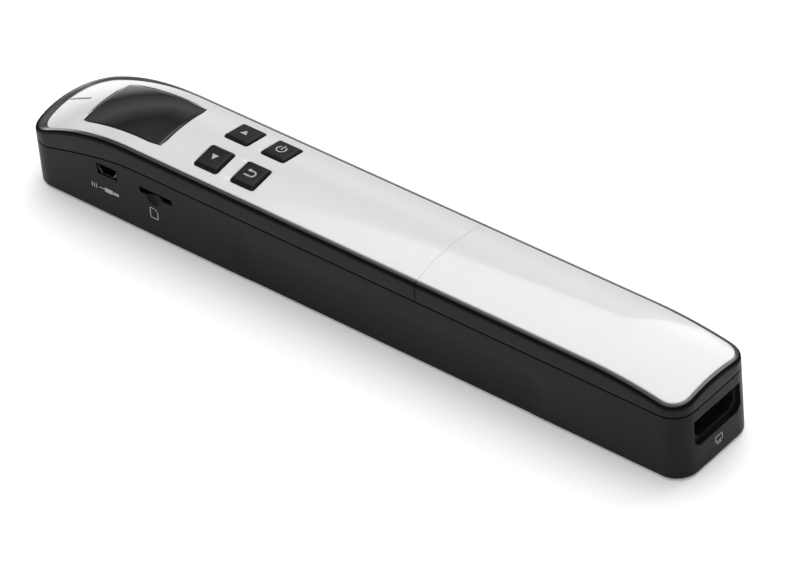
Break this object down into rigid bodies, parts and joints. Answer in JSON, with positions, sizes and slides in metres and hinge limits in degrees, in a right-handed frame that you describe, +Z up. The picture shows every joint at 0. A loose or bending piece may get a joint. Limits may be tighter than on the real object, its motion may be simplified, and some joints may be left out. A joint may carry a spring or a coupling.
{
  "type": "handheld book scanner",
  "caption": "Slim bar-shaped handheld scanner with white top panels, display window, square keys, side ports, rollers and a slide-off battery cover.",
  "frame": {"origin": "under the middle of the body, on the surface that the rollers and glide pads stand on", "axes": "+X along the body from the display end to the socket end, -Y towards the side with the two ports, +Z up"},
  "size_m": [0.256, 0.0342, 0.0343],
  "materials": {
    "housing_black": "satin moulded, fine texture; the bezel round the panels is glossy",
    "panel_white": "gloss white lacquer",
    "window_black": "polished smoked lens",
    "button_black": "semi-gloss keycap with a pale printed sign",
    "light_guide": "frosted clear",
    "steel": "plain",
    "circuit_board": "green solder resist",
    "inner_black": "matte",
    "battery_wrap": "shrink sleeve",
    "contact_brass": "plated",
    "sensor_glass": "clear",
    "roller_rubber": "ground rubber",
    "pad_rubber": "matte",
    "gear_white": "natural acetal",
    "flat_cable": "laminated film"
  },
  "bodies": {
    "base": {"lower_housing": "housing_black", "upper_cover": "housing_black", "control_panel": "panel_white", "display_window": "window_black", "display_module": "steel", "display_gasket": "pad_rubber", "status_light_guide": "light_guide", "button_switches": "steel", "control_board": "circuit_board", "main_board": "circuit_board", "board_chips": "inner_black", "usb_socket_shell": "steel", "usb_socket_tongue": "inner_black", "card_socket": "steel", "video_socket_shell": "steel", "video_socket_tongue": "inner_black", "socket_board": "circuit_board", "battery_tray": "inner_black", "battery_pack": "battery_wrap", "battery_contacts": "contact_brass", "sensor_housing": "inner_black", "sensor_glass": "sensor_glass", "sensor_lens_array": "inner_black", "sensor_light_bar": "light_guide", "sensor_board": "circuit_board", "roller_bushes": "gear_white", "encoder_bracket": "inner_black", "encoder_sensor": "inner_black", "sensor_cable": "flat_cable", "control_cable": "flat_cable", "glide_pads": "pad_rubber", "housing_screws": "steel", "board_screws": "steel"},
    "battery_lid": {"battery_cover": "housing_black", "battery_cover_panel": "panel_white"},
    "front_roller": {"front_roller_shaft": "steel", "front_rollers": "roller_rubber", "drive_gear": "gear_white"},
    "rear_roller": {"rear_roller_shaft": "steel", "rear_rollers": "roller_rubber"},
    "encoder": {"encoder_gear": "gear_white", "encoder_disc": "inner_black", "encoder_shaft": "steel"},
    "up_key": {"up_button": "button_black"},
    "down_key": {"down_button": "button_black"},
    "power_key": {"power_button": "button_black"},
    "back_key": {"back_button": "button_black"}
  },
  "joints": [
    {"name": "front_roller_spin", "type": "hinge", "parent": "base", "child": "front_roller", "pos_m": [0, -0.0109, 0.0042], "axis": [1, 0, 0], "continuous": true},
    {"name": "rear_roller_spin", "type": "hinge", "parent": "base", "child": "rear_roller", "pos_m": [0, 0.0109, 0.0042], "axis": [1, 0, 0], "continuous": true},
    {"name": "encoder_spin", "type": "hinge", "parent": "base", "child": "encoder", "pos_m": [0, -0.0109, 0.01022], "axis": [1, 0, 0], "continuous": true},
    {"name": "battery_cover_slide", "type": "slide", "parent": "base", "child": "battery_lid", "axis": [1, 0, 0], "range_m": [0, 0.105]},
    {"name": "up_press", "type": "slide", "parent": "base", "child": "up_key", "axis": [0, 0, -1], "range_m": [0, 0.0005], "stiffness_N_per_m": 600, "springref_m": -0.0008},
    {"name": "down_press", "type": "slide", "parent": "base", "child": "down_key", "axis": [0, 0, -1], "range_m": [0, 0.0005], "stiffness_N_per_m": 600, "springref_m": -0.0008},
    {"name": "power_press", "type": "slide", "parent": "base", "child": "power_key", "axis": [0, 0, -1], "range_m": [0, 0.0005], "stiffness_N_per_m": 600, "springref_m": -0.0008},
    {"name": "back_press", "type": "slide", "parent": "base", "child": "back_key", "axis": [0, 0, -1], "range_m": [0, 0.0005], "stiffness_N_per_m": 600, "springref_m": -0.0008}
  ],
  "couplings": [
    {"joint": "encoder_spin", "follows": "front_roller_spin", "ratio": -0.66667}
  ]
}
